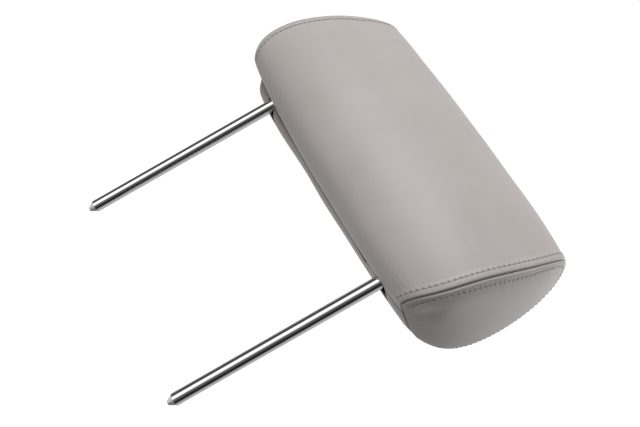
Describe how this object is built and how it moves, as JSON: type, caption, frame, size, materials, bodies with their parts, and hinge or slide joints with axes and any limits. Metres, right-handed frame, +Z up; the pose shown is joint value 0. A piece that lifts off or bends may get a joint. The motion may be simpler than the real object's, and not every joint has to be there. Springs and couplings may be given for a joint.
{
  "type": "head restraint",
  "caption": "Wide leather-covered head restraint pad that tilts forward on a friction-clamped bent steel rod whose two straight posts slide into a seat back.",
  "frame": {"origin": "midway between the two post axes, level with the pad's underside in the middle of its width", "axes": "+X to the sitter's left, +Z up along the posts towards the pad, -Y towards the sitter's head"},
  "size_m": [0.2962, 0.1227, 0.3014],
  "materials": {
    "chrome_rod": "polished",
    "dark_steel": "black oxide",
    "core_plastic": "moulded, unpainted",
    "zinc_screws": "zinc plated",
    "zinc_straps": "zinc plated",
    "bush_plastic": "natural acetal",
    "foam": "open-cell polyurethane foam",
    "grey_leather": "satin, very fine grain",
    "flap_leather": "satin, very fine grain",
    "strip_plastic": "extruded",
    "tape": "woven"
  },
  "bodies": {
    "posts": {"post_frame": "chrome_rod", "stop_collar": "dark_steel", "collar_set_screw": "dark_steel"},
    "pad": {"core_rear_half": "core_plastic", "core_front_half": "core_plastic", "core_screws": "zinc_screws", "friction_bush_left": "bush_plastic", "friction_bush_right": "bush_plastic", "clamp_strap_left": "zinc_straps", "clamp_strap_right": "zinc_straps", "clamp_screws": "zinc_screws", "foam_rear": "foam", "foam_front": "foam", "main_panel": "grey_leather", "side_panel_left": "grey_leather", "side_panel_right": "grey_leather", "bottom_flap": "flap_leather", "closure_strip_rear": "strip_plastic", "closure_strip_flap": "strip_plastic", "seam_tape_left": "tape", "seam_tape_right": "tape"}
  },
  "joints": [
    {"name": "pad_tilt", "type": "hinge", "parent": "posts", "child": "pad", "pos_m": [0, 0, 0.06], "axis": [1, 0, 0], "range_deg": [0, 15]}
  ]
}
